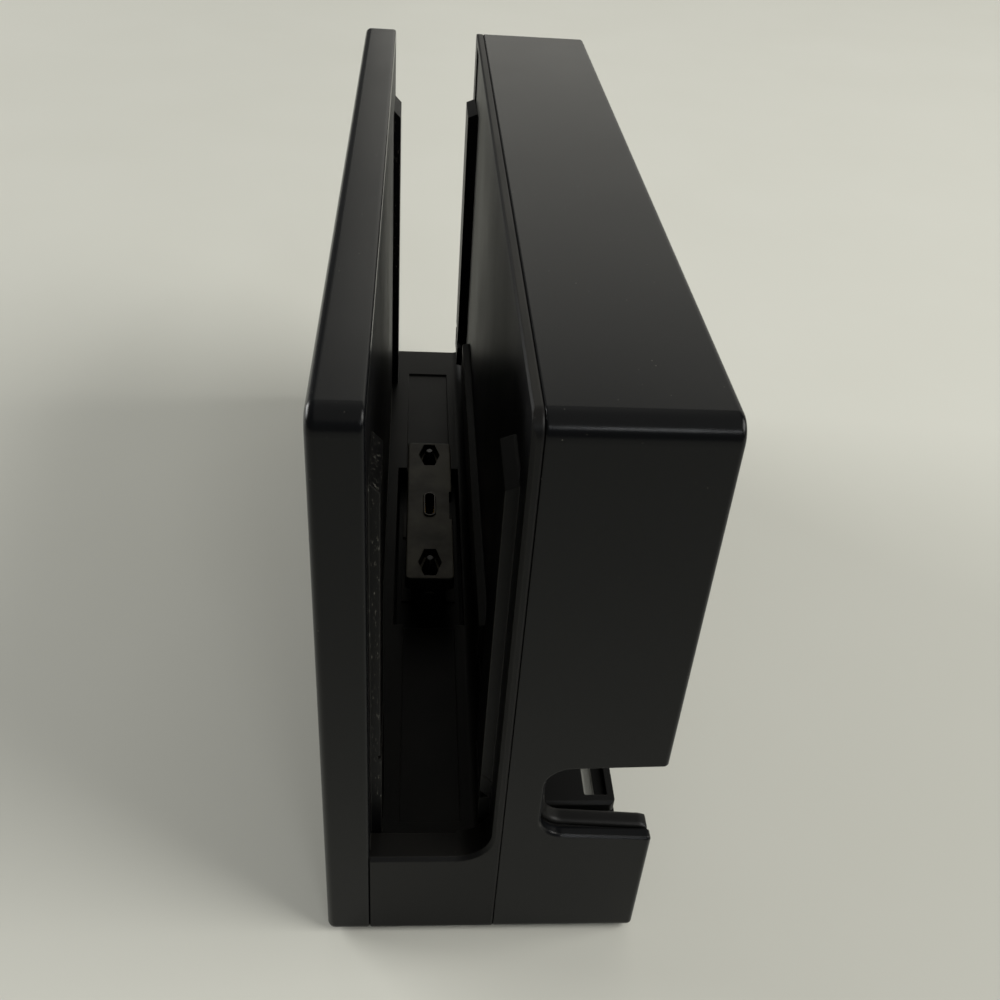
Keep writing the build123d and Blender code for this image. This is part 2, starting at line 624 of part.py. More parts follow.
def make_back_tray():
    # One sheet, stepped in plan: bay panel, port wall, compartment wall, inner end wall
    end_rear = Y_REAR - REAR_EDGE_R
    plan = poly(
        (-TRAY_X, BAY_FRONT), (PORT_FAR, BAY_FRONT), (PORT_FAR, COMP_FRONT), (TRAY_X, COMP_FRONT),
        (TRAY_X, end_rear), (TRAY_END, end_rear), (TRAY_END, COMP_Y), (PORT_X, COMP_Y),
        (PORT_X, BAY_Y), (-TRAY_X, BAY_Y),
    )
    solid = tile(plan, TRAY_Z0, TRAY_Z1) & slab(outline(WALL + TRAY_GAP), COMP_FRONT, Y_REAR)
    solid -= bar(notch_face(end_rear, LIP_H), TRAY_END - CUT, HALF)
    solid -= flare(notch_face(end_rear, LIP_H), TRAY_X, 1, NOTCH_EDGE)
    solid -= flare(notch_face(end_rear, LIP_H), TRAY_END, -1, NOTCH_EDGE)

    # Shelf beside the notch, with a window through it
    shelf = poly(
        (SHELF_X0, COMP_FRONT), (SHELF_X1, COMP_FRONT), (SHELF_X1, SHELF_Y1), (SHELF_X0, SHELF_Y1))
    shelf = round_at(shelf, [(SHELF_X1, SHELF_Y1), (SHELF_X0, SHELF_Y1)], SHELF_R)
    window = Pos(
        SHELF_X1 - WINDOW_END_IN - WINDOW_L / 2, SHELF_Y1 - WINDOW_REAR_IN - WINDOW_W / 2
    ) * RectangleRounded(WINDOW_L, WINDOW_W, WINDOW_R)
    shelf = tile(shelf - window, SHELF_TOP - SHELF_T, SHELF_TOP)
    x1 = SHELF_X1 - WINDOW_END_IN
    y1 = SHELF_Y1 - WINDOW_REAR_IN
    shelf -= box(x1 - WINDOW_L, x1, y1 - WINDOW_W / 2, y1 + POCKET_W, SHELF_TOP - POCKET_D, SHELF_TOP + CUT)
    reach = SHELF_EDGE + CUT
    bevel = poly(
        (SHELF_X1 + CUT, SHELF_TOP - reach), (SHELF_X1 - reach, SHELF_TOP + CUT),
        (SHELF_X1 + CUT, SHELF_TOP + CUT))
    solid += shelf - slab(bevel, COMP_FRONT, SHELF_Y1 + CUT)

    # Windows for the sockets, slots over the board, and seats for the screws
    for port in (POWER, HOST, VIDEO):
        solid -= port_window(port, MAIN_Z0 + port["rise"], PORT_FAR - CUT, PORT_X + CUT)
    vent_x = (PORT_FAR - TRAY_X) / 2
    for i in range(VENT_N):
        z = MID_Z - VENT_DROP + (i - (VENT_N - 1) / 2) * VENT_PITCH
        slot = Pos(vent_x, z) * SlotOverall(VENT_L, VENT_W)
        solid -= slab(slot, BAY_FRONT - CUT, BAY_Y + CUT)
    for spots, rear in ((BAY_SCREWS, BAY_Y), (COMP_SCREWS, COMP_Y)):
        for x, z in spots:
            solid -= rod_y(SCREW_R + HEAD_PLAY, x, z, rear - TRAY_T - CUT, rear + CUT)
            solid -= rod_y(SCREW_HEAD_R + HEAD_PLAY, x, z, rear - HEAD_SEAT, rear + CUT)
    return solid


def make_connector_carriage():
    plate = Pos(0, CAR_Y) * RectangleRounded(CAR_L, CAR_W, CAR_R)
    solid = tile(plate, CAR_UNDER, CAR_TOP)
    solid = fillet(solid.faces().sort_by(Axis.Z)[-1].edges(), CAR_EDGE_R)
    rear = CAR_Y + CAR_W / 2
    solid -= box(-CAR_NOTCH_L / 2, CAR_NOTCH_L / 2, rear - CAR_NOTCH_D, rear + CUT,
                 CAR_UNDER - CUT, CAR_TOP + CUT)
    solid += box(-SKIRT_X, SKIRT_X, CAR_Y - SKIRT_W / 2, CAR_Y + SKIRT_W / 2, SKIRT_Z, CAR_UNDER)
    reach = EAR_X + EAR_T + PIVOT_END
    solid += rod_x(PIVOT_R, -reach, reach, CAR_Y, AXIS_Z)
    solid -= tile(plug_face(PLUG_PLAY), CAR_TOP - PLUG_SEAT, CAR_TOP + CUT)
    for x in (-PIN_X, PIN_X):
        solid -= tile(Pos(x, CAR_Y) * hex_face(), CAR_TOP - HEX_D, CAR_TOP + CUT)
    return solid


def hex_face():
    """The long six-sided recess around a guide pin, in X and Y."""
    end = HEX_L / 2
    side = HEX_END_W / 2
    return poly((-end, -side), (0, -HEX_W / 2), (end, -side), (end, side), (0, HEX_W / 2), (-end, side))


def plug_face(extra):
    """The outline of the plug in X and Y, grown on all sides."""
    return Pos(0, CAR_Y) * SlotOverall(PLUG_L + 2 * extra, PLUG_W + 2 * extra)


def make_plug_shell():
    return tile(plug_face(0) - plug_face(-PLUG_WALL), CAR_TOP - PLUG_SEAT, CAR_TOP + PLUG_H)


def make_plug_liner():
    low = CAR_TOP - PLUG_SEAT
    return tile(plug_face(-PLUG_WALL - LINER_PLAY), low, low + LINER_H)


def make_guide_pins():
    height = HEX_D + PIN_H
    middle = CAR_TOP - HEX_D + height / 2
    pins = [Pos(x, CAR_Y, middle) * Cone(PIN_R, PIN_TIP_R, height) for x in (-PIN_X, PIN_X)]
    return Compound(children=pins)


def make_carriage_bracket():
    base = Pos(0, CAR_Y) * RectangleRounded(2 * BRACKET_X, BRACKET_W, BRACKET_R)
    solid = tile(base, BRACKET_Z, BRACKET_TOP)
    for x0 in (-EAR_X - EAR_T, EAR_X):
        x1 = x0 + EAR_T
        solid += box(x0, x1, CAR_Y - EAR_R, CAR_Y + EAR_R, BRACKET_Z, AXIS_Z)
        solid += rod_x(EAR_R, x0, x1, CAR_Y, AXIS_Z)
        solid -= rod_x(PIVOT_R + PIVOT_PLAY, x0 - CUT, x1 + CUT, CAR_Y, AXIS_Z)
    for x, y in BRACKET_SCREWS:
        solid -= rod_z(SCREW_R + HEAD_PLAY, x, y, BRACKET_Z - CUT, BRACKET_TOP + CUT)
    return solid


def make_return_springs():
    low = BRACKET_TOP
    high = SKIRT_Z - SPRING_GAP
    springs = []
    for side in (-1, 1):
        tip = CAR_Y + side * (SKIRT_W / 2 - SPRING_TIP_IN)
        root = CAR_Y + side * (BRACKET_W / 2 - SPRING_SIDE)
        bend = root - side * SPRING_FOOT
        face = poly(
            (root, low), (bend, low), (tip, high - SPRING_T), (tip, high),
            (bend + side * SPRING_T, low + SPRING_T), (root, low + SPRING_T),
        )
        for x in (-SPRING_X, SPRING_X):
            springs.append(bar(face, x - SPRING_L / 2, x + SPRING_L / 2))
    return Compound(children=springs)


def make_board(x0, x1, z0, z1, screws):
    solid = box(x0, x1, BOARD_Y, BOARD_REAR, z0, z1)
    for x, z in screws:
        solid -= rod_y(SCREW_R + HEAD_PLAY, x, z, BOARD_Y - CUT, BOARD_REAR + CUT)
    return solid


def make_board_chips():
    mid_x = (SHIELD_X0 + SHIELD_X1) / 2
    mid_z = (MAIN_Z0 + MAIN_Z1) / 2
    chips = []
    for dx, dz, size in CHIPS:
        face = Pos(mid_x + dx, mid_z + dz) * Rectangle(size, size)
        chips.append(slab(face, BOARD_REAR, BOARD_REAR + CHIP_H))
    return Compound(children=chips)


def make_shield(y0, y1, x1, hollow_y0, hollow_y1):
    """A pressed tray with its open side on the board."""
    z0 = MAIN_Z0 + SHIELD_IN
    z1 = MAIN_Z1 - SHIELD_IN
    solid = box(SHIELD_X0, x1, y0, y1, z0, z1)
    t = SHIELD_T
    return solid - box(SHIELD_X0 + t, x1 - t, hollow_y0, hollow_y1, z0 + t, z1 - t)


def port_face(port, z, inset):
    """A socket in Y and Z, set in on all sides. It stands on the rear face of a board."""
    radius = max(port["r"] - inset, PORT_SHEET / 3)
    return Pos(BOARD_REAR + port["h"] / 2, z) * RectangleRounded(
        port["h"] - 2 * inset, port["w"] - 2 * inset, radius)


def make_port_shell(port, z, mouth, way):
    """A drawn shell, open at its mouth, which looks along way."""
    back = mouth - way * port["d"]
    hollow_end = mouth + way * CUT
    solid = bar(port_face(port, z, 0), min(mouth, back), max(mouth, back))
    stop = back + way * PORT_SHEET
    hollow = bar(port_face(port, z, PORT_SHEET), min(hollow_end, stop), max(hollow_end, stop))
    return solid - hollow


def make_port_tongue(port, z, mouth, way):
    """The insulator inside a socket: a block at the back, and a tongue."""
    back = mouth - way * (port["d"] - PORT_SHEET)
    front = back + way * TONGUE_BLOCK
    tip = mouth - way * TONGUE_IN
    solid = bar(port_face(port, z, PORT_SHEET + TONGUE_PLAY), min(back, front), max(back, front))
    face = Pos(BOARD_REAR + port["h"] / 2, z) * Rectangle(port["tongue_h"], port["tongue_w"])
    return solid + bar(face, min(back, tip), max(back, tip))


def make_side_port_ribbon():
    z = SIDE_Z0 + sum(SIDE_RISES.values()) / 2
    return box(SIDE_X1 - RIBBON_LAP, MAIN_X0 + RIBBON_LAP, BOARD_REAR, BOARD_REAR + RIBBON_T,
               z - RIBBON_W / 2, z + RIBBON_W / 2)


def make_board_screws():
    spots = MAIN_SCREWS + SIDE_SCREWS
    return Compound(children=[screw_y(x, z, BOARD_REAR, BOARD_REAR - SCREW_L) for x, z in spots])


def make_case_screws():
    bay_tip = BAY_FRONT - SCREW_L + SCREW_END
    comp_tip = COMP_FRONT - COMP_GRIP + SCREW_END
    screws = [screw_y(x, z, BAY_Y - HEAD_SEAT, bay_tip) for x, z in BAY_SCREWS]
    screws += [screw_y(x, z, COMP_Y - HEAD_SEAT, comp_tip) for x, z in COMP_SCREWS]
    return Compound(children=screws)


def make_bottom_screws():
    tip = BOTTOM_SCREW_Z + SCREW_L - SCREW_END
    return Compound(children=[screw_z(x, y, BASE_Z + HEAD_SEAT, tip) for x, y in BOTTOM_SCREWS])


def make_bracket_screws():
    tip = BRACKET_TOP + BRACKET_GRIP - SCREW_END
    return Compound(children=[screw_z(x, y, BRACKET_Z, tip) for x, y in BRACKET_SCREWS])


nodes = {
    "front_panel": make_front_panel(),
    "cradle": make_cradle(),
    "bottom_cover": make_bottom_cover(),
    "rear_shell": make_rear_shell(),
    "back_tray": make_back_tray(),
    "connector_carriage": make_connector_carriage(),
    "plug_shell": make_plug_shell(),
    "plug_liner": make_plug_liner(),
    "guide_pins": make_guide_pins(),
    "carriage_bracket": make_carriage_bracket(),
    "bracket_screws": make_bracket_screws(),
    "return_springs": make_return_springs(),
    "status_light_pipe": make_status_light_pipe(),
    "status_light_board": make_status_light_board(),
    "main_board": make_board(MAIN_X0, MAIN_X1, MAIN_Z0, MAIN_Z1, MAIN_SCREWS),
    "side_port_board": make_board(SIDE_X0, SIDE_X1, SIDE_Z0, SIDE_Z1, SIDE_SCREWS),
    "board_chips": make_board_chips(),
    "board_shield_front": make_shield(
        BOARD_Y - SHIELD_H, BOARD_Y, MAIN_X1 - SHIELD_IN, BOARD_Y - SHIELD_H + SHIELD_T, BOARD_Y + CUT),
    "board_shield_rear": make_shield(
        BOARD_REAR, BOARD_REAR + SHIELD_H, SHIELD_X1, BOARD_REAR - CUT, BOARD_REAR + SHIELD_H - SHIELD_T),
    "board_screws": make_board_screws(),
    "side_port_ribbon": make_side_port_ribbon(),
    "case_screws": make_case_screws(),
    "bottom_screws": make_bottom_screws(),
}
for name, port in (("power", POWER), ("host", HOST), ("video", VIDEO)):
    z = MAIN_Z0 + port["rise"]
    nodes[f"{name}_port_shell"] = make_port_shell(port, z, PORT_X, 1)
    nodes[f"{name}_port_tongue"] = make_port_tongue(port, z, PORT_X, 1)
for name, rise in SIDE_RISES.items():
    mouth = -HALF + SIDE_PORT_IN
    nodes[f"side_port_shell_{name}"] = make_port_shell(HOST, SIDE_Z0 + rise, mouth, -1)
    nodes[f"side_port_tongue_{name}"] = make_port_tongue(HOST, SIDE_Z0 + rise, mouth, -1)
for name, (x, y) in FEET.items():
    nodes[name] = make_foot(x, y)

os.makedirs("parts", exist_ok=True)
for name, solid in nodes.items():
    export_step(solid, f"parts/{name}.step")
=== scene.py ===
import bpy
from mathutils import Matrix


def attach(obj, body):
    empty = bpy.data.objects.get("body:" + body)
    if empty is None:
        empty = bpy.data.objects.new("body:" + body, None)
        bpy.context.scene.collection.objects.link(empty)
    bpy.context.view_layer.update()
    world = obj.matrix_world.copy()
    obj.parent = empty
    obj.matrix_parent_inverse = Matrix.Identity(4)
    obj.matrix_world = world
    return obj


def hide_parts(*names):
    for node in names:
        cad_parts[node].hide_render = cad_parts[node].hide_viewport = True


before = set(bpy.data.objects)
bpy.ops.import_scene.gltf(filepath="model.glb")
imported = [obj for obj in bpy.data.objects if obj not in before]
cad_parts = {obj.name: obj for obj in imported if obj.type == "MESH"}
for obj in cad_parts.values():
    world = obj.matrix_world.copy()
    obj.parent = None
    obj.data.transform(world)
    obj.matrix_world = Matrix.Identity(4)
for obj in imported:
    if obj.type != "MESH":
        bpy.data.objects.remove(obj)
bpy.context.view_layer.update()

import math

import bpy
import numpy as np
from mathutils import Matrix, Vector

MM = 0.001
CREASE = math.radians(35)

# Real sizes of the marks on the surfaces, in mm
TONE_DRIFT = 30.0
SPARK_GRAIN = 0.25  # about 0.1 on the real moulding; drawn coarser so that it shows
SPARK_DEPTH = 0.05
EDGE_RADIUS = 0.3
SHEET_EDGE_RADIUS = 0.15
SPECK_GAP = 1.2
FILM_PATCH = 9.0
SCRATCH_GAP = 0.7
SHEET_STREAK = 0.4  # about 0.05 on real sheet; drawn coarser so that it shows
DESK_PATCH = 60.0

# Where a console rubs the front rails, in mm: middle and half of the stretch, and the middle of the slot
RUB_MIDDLE_X, RUB_HALF_X = 74.0, 6.5
RUB_MIDDLE_Z, RUB_HALF_Z = 58.5, 31.5
SLOT_MIDDLE_Y = -9.0

# Strengths and limits of the marks, without a unit
SPARK_STRENGTH = 0.12
EDGE_STARTS, EDGE_FULL = 0.99, 0.8  # cosine between the rounded normal and the true one
EDGE_POLISH = 0.85
SPECK_SHARE = 0.10  # radius of the largest speck as a share of the gap
SPECK_NONE = 0.7  # share of the cells without a speck
SCRATCH_STRETCH = (1.6, 1.6, 0.5)
SCRATCH_FAINT, SCRATCH_FULL = 0.59, 0.70
# How faces that look up turn greyer: partly a film of dust, partly painted shade that keeps the sides darker
FILM_THIN = 0.35
FILM_THIN_AT, FILM_FULL_AT = 0.3, 0.6
FILM_SHADE_TILTED, FILM_SHADE_LEVEL = 0.6, 0.95  # upward part of the normal
NOISE_LOW, NOISE_HIGH = 0.3, 0.7  # where nearly all of a noise lies
GLOSS_UNDER, GLOSS_OVER = 0.03, 0.04
SHEET_GLOSS = 0.06
DESK_ROUGH = 0.5

# Pale colour of wear and dust, which also paints a highlight along rounded edges
PALE_WEAR_AND_SHEEN = "#8a887f"
DESK_DARK, DESK_LIGHT = "#cdcdc4", "#d2d2ca"


def linear(text):
    """An sRGB hex colour as linear values."""
    parts = [int(text[i:i + 2], 16) / 255 for i in (1, 3, 5)]
    parts = [v / 12.92 if v <= 0.04045 else ((v + 0.055) / 1.055) ** 2.4 for v in parts]
    return (*parts, 1.0)


def add(tree, kind, links=None, **settings):
    """Add one node. links gives a value or an output socket for each named or numbered input."""
    node = tree.nodes.new(kind)
    for key, value in settings.items():
        setattr(node, key, value)
    for key, value in (links or {}).items():
        socket = node.inputs[key]
        if isinstance(value, bpy.types.NodeSocket):
            tree.links.new(value, socket)
        else:
            socket.default_value = value
    return node


def per_mm(size):
    """The scale of a pattern whose marks are this many millimetres apart."""
    return 1.0 / (size * MM)


def start(name):
    """An empty node material with a Principled shader and Object coordinates."""
    material = bpy.data.materials.new(name)
    material.use_nodes = True
    tree = material.node_tree
    tree.nodes.clear()
    shader = add(tree, "ShaderNodeBsdfPrincipled")
    add(tree, "ShaderNodeOutputMaterial", {"Surface": shader.outputs[0]})
    place = add(tree, "ShaderNodeTexCoord").outputs["Object"]
    return material, tree, shader, place


def moulded(name, dark, light, rough, dust, edge_wear_and_sheen=0.0, rails=0.0, ior=1.29, film=None):
    """A moulded or cast finish with a fine texture. The texture scatters the gloss, so the mirror is weaker
    than the material's own index gives. Rounded edges carry the light; the edge strength makes them pale,
    partly as rubbed wear and partly as a painted highlight along the edges. dust is the strength of the
    specks, rails that of the scuffs on the front rails, and the film colour greys what looks up, partly as
    a film of dust and partly as painted shade that keeps the sides darker than the tops."""
    material, tree, shader, place = start(name)
    drift = add(tree, "ShaderNodeTexNoise", {"Vector": place, "Scale": per_mm(TONE_DRIFT), "Detail": 3.0})
    grain = add(tree, "ShaderNodeTexNoise", {"Vector": place, "Scale": per_mm(SPARK_GRAIN), "Detail": 2.0})
    tone = add(tree, "ShaderNodeMix", {
        0: drift.outputs[0], 6: linear(dark), 7: linear(light)}, data_type="RGBA")
    surface = add(tree, "ShaderNodeNewGeometry")
    soft = add(tree, "ShaderNodeBevel", {"Radius": EDGE_RADIUS * MM}, samples=4)

    # Rubbed edges, pale and polished, lie where the rounded normal leaves the true one. Their paleness is
    # partly wear and partly a painted highlight
    turn = add(tree, "ShaderNodeVectorMath", {
        0: soft.outputs[0], 1: surface.outputs["True Normal"]}, operation="DOT_PRODUCT")
    edges = add(tree, "ShaderNodeMapRange", {
        "Value": turn.outputs["Value"], "From Min": EDGE_STARTS, "From Max": EDGE_FULL,
        "To Min": 0.0, "To Max": 1.0})
    pale_edge_and_sheen = add(tree, "ShaderNodeMath", {0: edges.outputs[0], 1: edge_wear_and_sheen}, operation="MULTIPLY")

    # Dust: the specks are balls in space, and the few that a face cuts show on it
    cells = add(tree, "ShaderNodeTexVoronoi", {"Vector": place, "Scale": per_mm(SPECK_GAP)})
    pick = add(tree, "ShaderNodeSeparateColor", {0: cells.outputs["Color"]})
    size = add(tree, "ShaderNodeMapRange", {
        "Value": pick.outputs[0], "From Min": SPECK_NONE, "From Max": 1.0,
        "To Min": 0.0, "To Max": SPECK_SHARE})
    speck = add(tree, "ShaderNodeMath", {
        0: cells.outputs["Distance"], 1: size.outputs[0]}, operation="LESS_THAN")
    dusty = add(tree, "ShaderNodeMath", {0: speck.outputs[0], 1: dust}, operation="MULTIPLY")

    # Scuffs: fine scratches that a console leaves on the front rails near both ends
    spot = add(tree, "ShaderNodeSeparateXYZ", {0: place})
    along = add(tree, "ShaderNodeMath", {0: spot.outputs[0]}, operation="ABSOLUTE")
    beside = add(tree, "ShaderNodeMath", {
        0: along.outputs[0], 1: RUB_MIDDLE_X * MM, 2: RUB_HALF_X * MM}, operation="COMPARE")
    between = add(tree, "ShaderNodeMath", {
        0: spot.outputs[2], 1: RUB_MIDDLE_Z * MM, 2: RUB_HALF_Z * MM}, operation="COMPARE")
    ahead = add(tree, "ShaderNodeMath", {0: spot.outputs[1], 1: SLOT_MIDDLE_Y * MM}, operation="LESS_THAN")
    upright = add(tree, "ShaderNodeMath", {0: beside.outputs[0], 1: between.outputs[0]}, operation="MULTIPLY")
    on_rail = add(tree, "ShaderNodeMath", {0: upright.outputs[0], 1: ahead.outputs[0]}, operation="MULTIPLY")
    streaks = add(tree, "ShaderNodeMapping", {"Vector": place, "Scale": SCRATCH_STRETCH})
    scratch = add(tree, "ShaderNodeTexNoise", {
        "Vector": streaks.outputs[0], "Scale": per_mm(SCRATCH_GAP), "Detail": 5.0, "Roughness": 0.75})
    scuffed = add(tree, "ShaderNodeMapRange", {
        "Value": scratch.outputs[0], "From Min": SCRATCH_FAINT, "From Max": SCRATCH_FULL,
        "To Min": 0.0, "To Max": rails})
    scuffs = add(tree, "ShaderNodeMath", {0: scuffed.outputs[0], 1: on_rail.outputs[0]}, operation="MULTIPLY")

    # Pale marks: rubbed wear, scuffs and dust, and with them a painted highlight along the edges
    wear_and_sheen = add(tree, "ShaderNodeMath", {0: pale_edge_and_sheen.outputs[0], 1: scuffs.outputs[0]}, operation="MAXIMUM")
    marks_and_sheen = add(tree, "ShaderNodeMath", {0: wear_and_sheen.outputs[0], 1: dusty.outputs[0]}, operation="MAXIMUM")
    base = tone.outputs[2]
    # Faces that look up turn grey: partly a film of dust, partly painted shade that leaves the sides darker
    # than the tops
    if film:
        facing = add(tree, "ShaderNodeSeparateXYZ", {0: surface.outputs["Normal"]})
        patch = add(tree, "ShaderNodeTexNoise", {"Vector": place, "Scale": per_mm(FILM_PATCH), "Detail": 3.0})
        cover = add(tree, "ShaderNodeMapRange", {
            "Value": patch.outputs[0], "From Min": FILM_THIN_AT, "From Max": FILM_FULL_AT,
            "To Min": FILM_THIN, "To Max": 1.0})
        greyed_and_shaded = add(tree, "ShaderNodeMapRange", {
            "Value": facing.outputs[2], "From Min": FILM_SHADE_TILTED, "From Max": FILM_SHADE_LEVEL,
            "To Min": 0.0, "To Max": cover.outputs[0]})
        base = add(tree, "ShaderNodeMix", {
            0: greyed_and_shaded.outputs[0], 6: base, 7: linear(film)}, data_type="RGBA").outputs[2]
    colour = add(tree, "ShaderNodeMix", {
        0: marks_and_sheen.outputs[0], 6: base, 7: linear(PALE_WEAR_AND_SHEEN)}, data_type="RGBA")
    gloss = add(tree, "ShaderNodeMapRange", {
        "Value": drift.outputs[0], "From Min": NOISE_LOW, "From Max": NOISE_HIGH,
        "To Min": rough - GLOSS_UNDER, "To Max": rough + GLOSS_OVER})
    polish = add(tree, "ShaderNodeMix", {0: edges.outputs[0], 2: gloss.outputs[0], 3: EDGE_POLISH * rough})
    relief = add(tree, "ShaderNodeBump", {
        "Height": grain.outputs[0], "Strength": SPARK_STRENGTH, "Distance": SPARK_DEPTH * MM,
        "Normal": soft.outputs[0]})
    tree.links.new(colour.outputs[2], shader.inputs["Base Color"])
    tree.links.new(polish.outputs[0], shader.inputs["Roughness"])
    tree.links.new(relief.outputs[0], shader.inputs["Normal"])
    shader.inputs["IOR"].default_value = ior
    return material


def sheet_metal(name, dark, light, rough, streak):
    """Plated or rolled metal sheet. Rolling and drawing leave fine streaks that spread the gloss one way;
    streak is how they are stretched along X, Y and Z."""
    material, tree, shader, place = start(name)
    stretch = add(tree, "ShaderNodeMapping", {"Vector": place, "Scale": streak})
    lines = add(tree, "ShaderNodeTexNoise", {
        "Vector": stretch.outputs[0], "Scale": per_mm(SHEET_STREAK), "Detail": 4.0})
    tone = add(tree, "ShaderNodeMix", {
        0: lines.outputs[0], 6: linear(dark), 7: linear(light)}, data_type="RGBA")
    gloss = add(tree, "ShaderNodeMapRange", {
        "Value": lines.outputs[0], "From Min": NOISE_LOW, "From Max": NOISE_HIGH,
        "To Min": rough - SHEET_GLOSS, "To Max": rough + SHEET_GLOSS})
    edge = add(tree, "ShaderNodeBevel", {"Radius": SHEET_EDGE_RADIUS * MM}, samples=4)
    tree.links.new(edge.outputs[0], shader.inputs["Normal"])
    tree.links.new(tone.outputs[2], shader.inputs["Base Color"])
    tree.links.new(gloss.outputs[0], shader.inputs["Roughness"])
    shader.inputs["Metallic"].default_value = 1.0
    return material


FINISHES = {
    # Moulded ABS: near black with a soft sheen, so that the tops mirror the room, and pale edges that are
    # partly wear and partly a painted highlight
    "shell_black": moulded("abs_shell", "#08090b", "#0c0d0f", 0.21, 0.22, edge_wear_and_sheen=0.09, ior=1.27),
    # The same plastic with a duller texture, scuffed rails, and grey on faces that look up, partly a thin
    # film of dust and partly painted shade that keeps the sides darker
    "cradle_black": moulded("abs_cradle", "#09090a", "#0d0d0e", 0.41, 0.08, edge_wear_and_sheen=0.10, rails=0.85,
                            ior=1.26, film="#151412"),
    # Inner mouldings: the darkest, dull
    "inner_black": moulded("abs_inner", "#060606", "#090909", 0.42, 0.15, edge_wear_and_sheen=0.06),
    "bracket_black": moulded("abs_bracket", "#0b0b0b", "#101010", 0.5, 0.2),
    # Acetal: a waxy dark plate whose tops turn brownish grey, partly from dust and partly as painted shade
    # that keeps its sides darker, and smooth pins that glint
    "carriage_grey": moulded("pom_carriage", "#0b0b0a", "#11100f", 0.42, 0.4, edge_wear_and_sheen=0.05, film="#6e6a60"),
    "pin_black": moulded("pom_pin", "#070707", "#0c0c0c", 0.20, 0.1, ior=1.4),
    # Glass-filled insulators and moulded chips: flat black without a mirror
    "insulator_black": moulded("lcp_insulator", "#080808", "#0d0d0d", 0.5, 0.1),
    "chip_black": moulded("epoxy_chip", "#121212", "#1a1a1a", 0.55, 0.1),
    # Rubber: dark grey and matte, and it holds dust
    "foot_rubber": moulded("rubber_foot", "#17171a", "#202022", 0.75, 0.6),
    # Drawn steel: a dark plug, bright sockets and tinned shields
    "plug_steel": sheet_metal("steel_plug", "#2e2d2b", "#474542", 0.22, (1, 1, 0.2)),
    "port_steel": sheet_metal("steel_port", "#a09e99", "#c4c2bc", 0.30, (0.2, 1, 1)),
    "shield_steel": sheet_metal("steel_shield", "#9a9993", "#bdbbb4", 0.38, (0.2, 1, 1)),
    # Blackened steel: a dim grey gloss
    "spring_steel": sheet_metal("steel_spring", "#1d1c1b", "#2a2927", 0.40, (1, 0.2, 0.2)),
    "screw_black": sheet_metal("steel_screw", "#1c1c1d", "#2b2b2c", 0.40, (1, 1, 1)),
    # Solder mask over resin: a green gloss
    "board_green": moulded("resin_board", "#0d3a22", "#124a2c", 0.4, 0.1),
    # Frosted polycarbonate and polyester film: pale, with a low sheen
    "light_pipe": moulded("pc_light_pipe", "#b8bdb6", "#d0d4cc", 0.3, 0.1),
    "ribbon_pale": moulded("pet_ribbon", "#b9b4a4", "#cfcabb", 0.4, 0.1),
}
# Gold plating on the contacts: a warm bright streak
GOLD = sheet_metal("gold_contact", "#9c7430", "#c79d4e", 0.25, (0.2, 1, 1))

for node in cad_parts.values():
    for slot in node.material_slots:
        slot.material = FINISHES[slot.material.name.split(".")[0]]


def skin(name, grid, finish, body, stands_for=()):
    """Closed skins over sections. grid[i, j, k] is point k round section j of item i, in mm. A section
    runs round its path's direction by the right hand, and the first and last sections are filled."""
    index = np.arange(grid.size // 3).reshape(grid.shape[:3])
    after = np.roll(index, -1, axis=2)
    walls = np.stack([index[:, :-1], after[:, :-1], after[:, 1:], index[:, 1:]], axis=-1).reshape(-1, 4)
    ends = np.concatenate([index[:, 0, ::-1], index[:, -1]])
    mesh = bpy.data.meshes.new(name)
    mesh.from_pydata((grid.reshape(-1, 3) * MM).tolist(), [], walls.tolist() + ends.tolist())
    mesh.shade_smooth()
    mesh.set_sharp_from_angle(angle=CREASE)
    mesh.materials.append(finish)
    piece = bpy.data.objects.new(name, mesh)
    bpy.context.scene.collection.objects.link(piece)
    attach(piece, body)
    if stands_for:
        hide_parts(*stands_for)


# Lip of the inner wall of the cable notch, and lower ends of the rear rails. All sizes of pieces are in mm
LIP_START_Y, LIP_START_Z = 25.5, 25.37
LIP_CLIMB = 0.0912  # radians
LIP_RADIUS, LIP_STRAIGHT, LIP_UPRIGHT = 4.0, 14.2, 4.5
LIP_MIDDLE_X, LIP_HALF_WIDTH = 83.15, 1.35
LIP_RISE, LIP_ROOT = 0.78, 0.5
LIP_SWELL, LIP_FADE = 1.2, 5.0
LIP_END, LIP_FADE_ANGLE = 0.05, 1.5
LIP_POWER = 0.6
RAIL_STARTS_X, RAIL_LENGTH = [-80.0, 68.0], 12.0
RAIL_BACK_Y, RAIL_FRONT_Y = 0.75, -1.55
FOOT_BACK_Z, FOOT_FRONT_Z, FOOT_HEIGHT = 27.0, 29.3, 4.0


